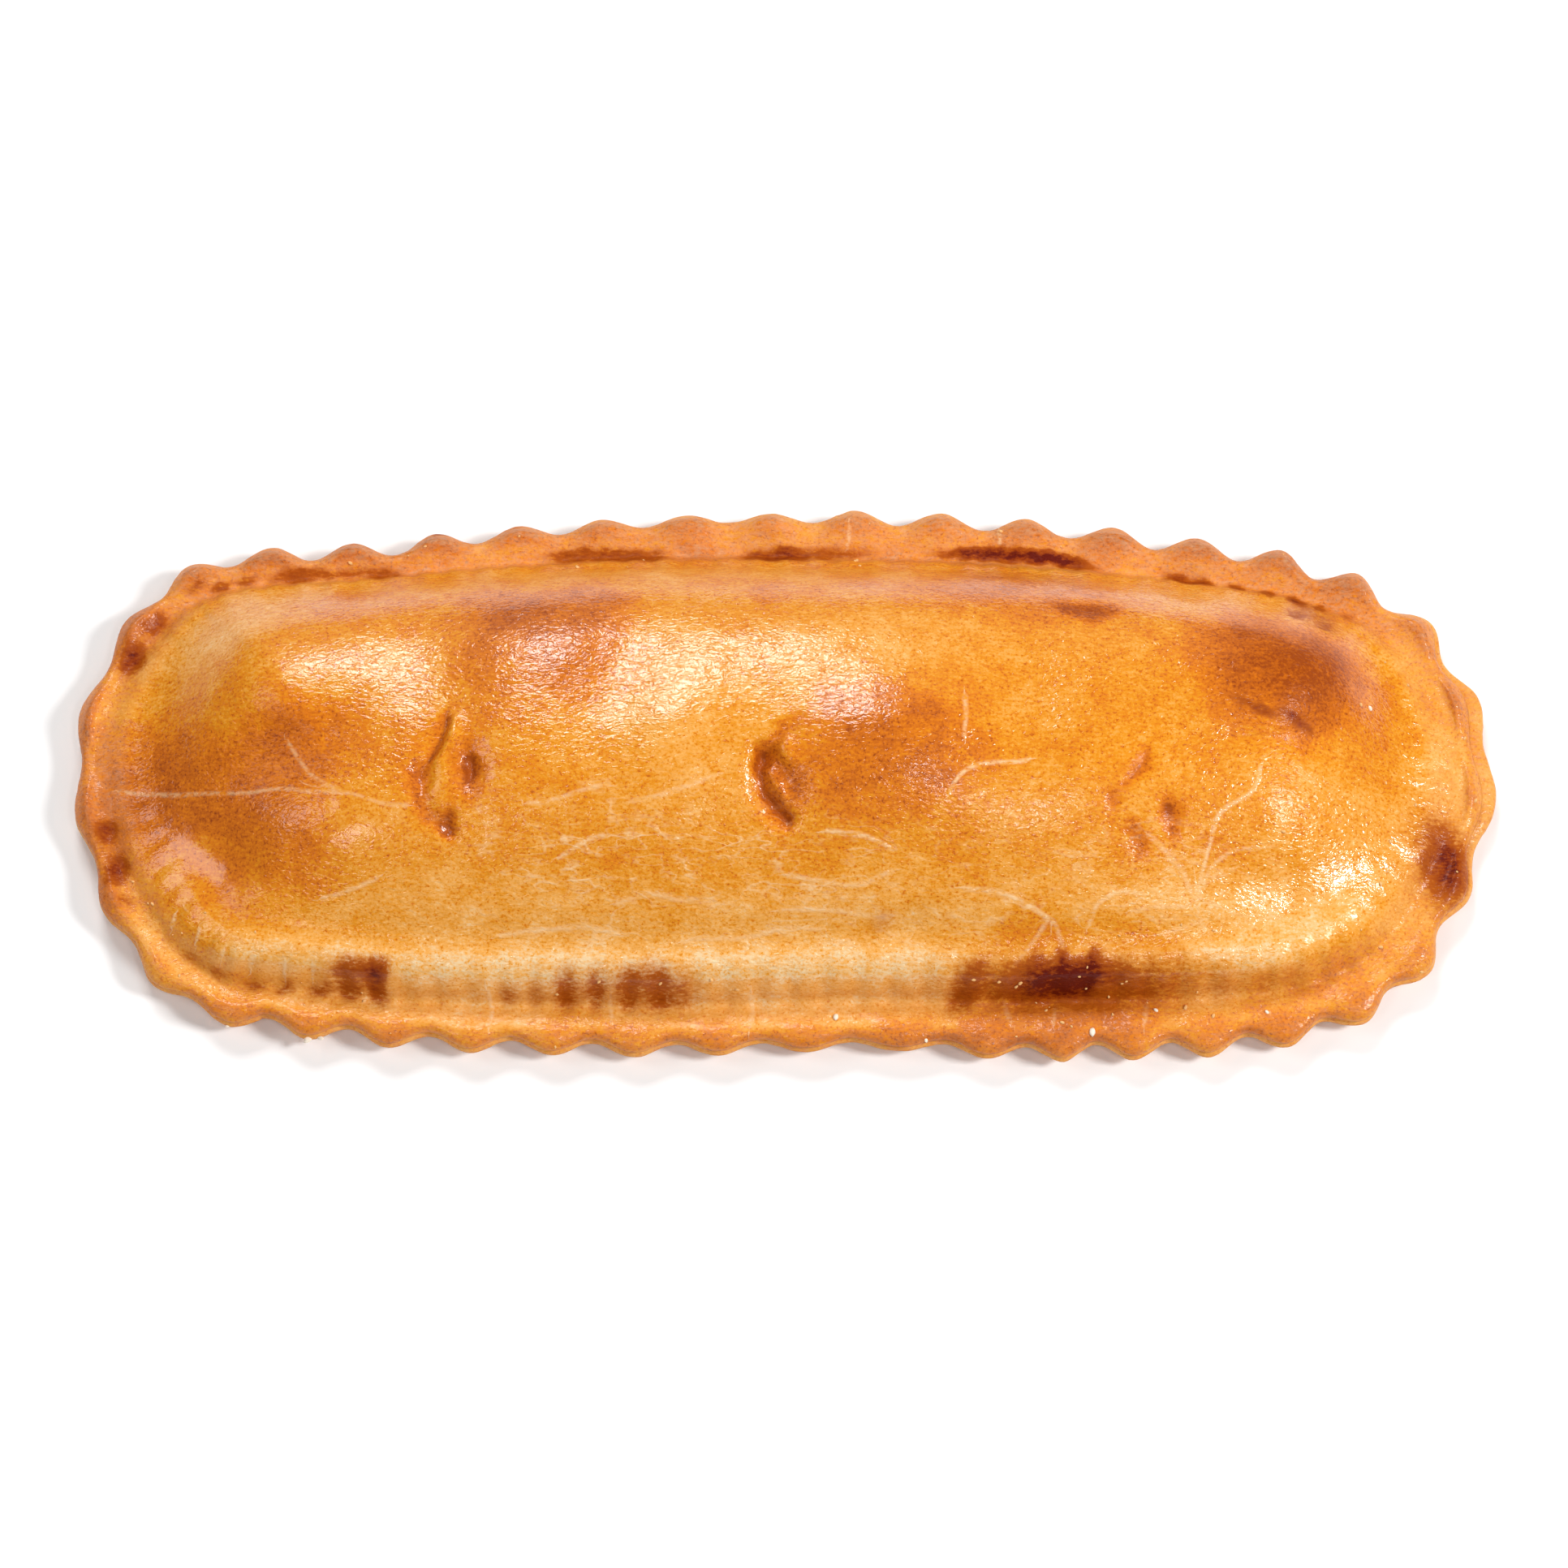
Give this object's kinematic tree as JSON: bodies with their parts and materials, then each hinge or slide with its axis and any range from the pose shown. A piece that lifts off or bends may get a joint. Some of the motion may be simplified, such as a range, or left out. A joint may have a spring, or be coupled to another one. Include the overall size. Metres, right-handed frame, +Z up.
{
  "type": "chicken empanada",
  "caption": "Long baked pie of two pressed pastry sheets, with a fluted rim, a crimped wall and a lumpy domed lid with crescent steam vents.",
  "frame": {"origin": "centre of the bounding box's bottom face, on the flat underside", "axes": "+X along the length of the pie, +Y across it towards the back, +Z up out of the domed lid"},
  "size_m": [0.19, 0.078, 0.025],
  "materials": {
    "crust": "egg-washed shortcrust baked golden, with a thin uneven gloss, browned high spots and burnt marks along the crimp"
  },
  "bodies": {
    "root": {"pastry": "crust"}
  },
  "joints": []
}
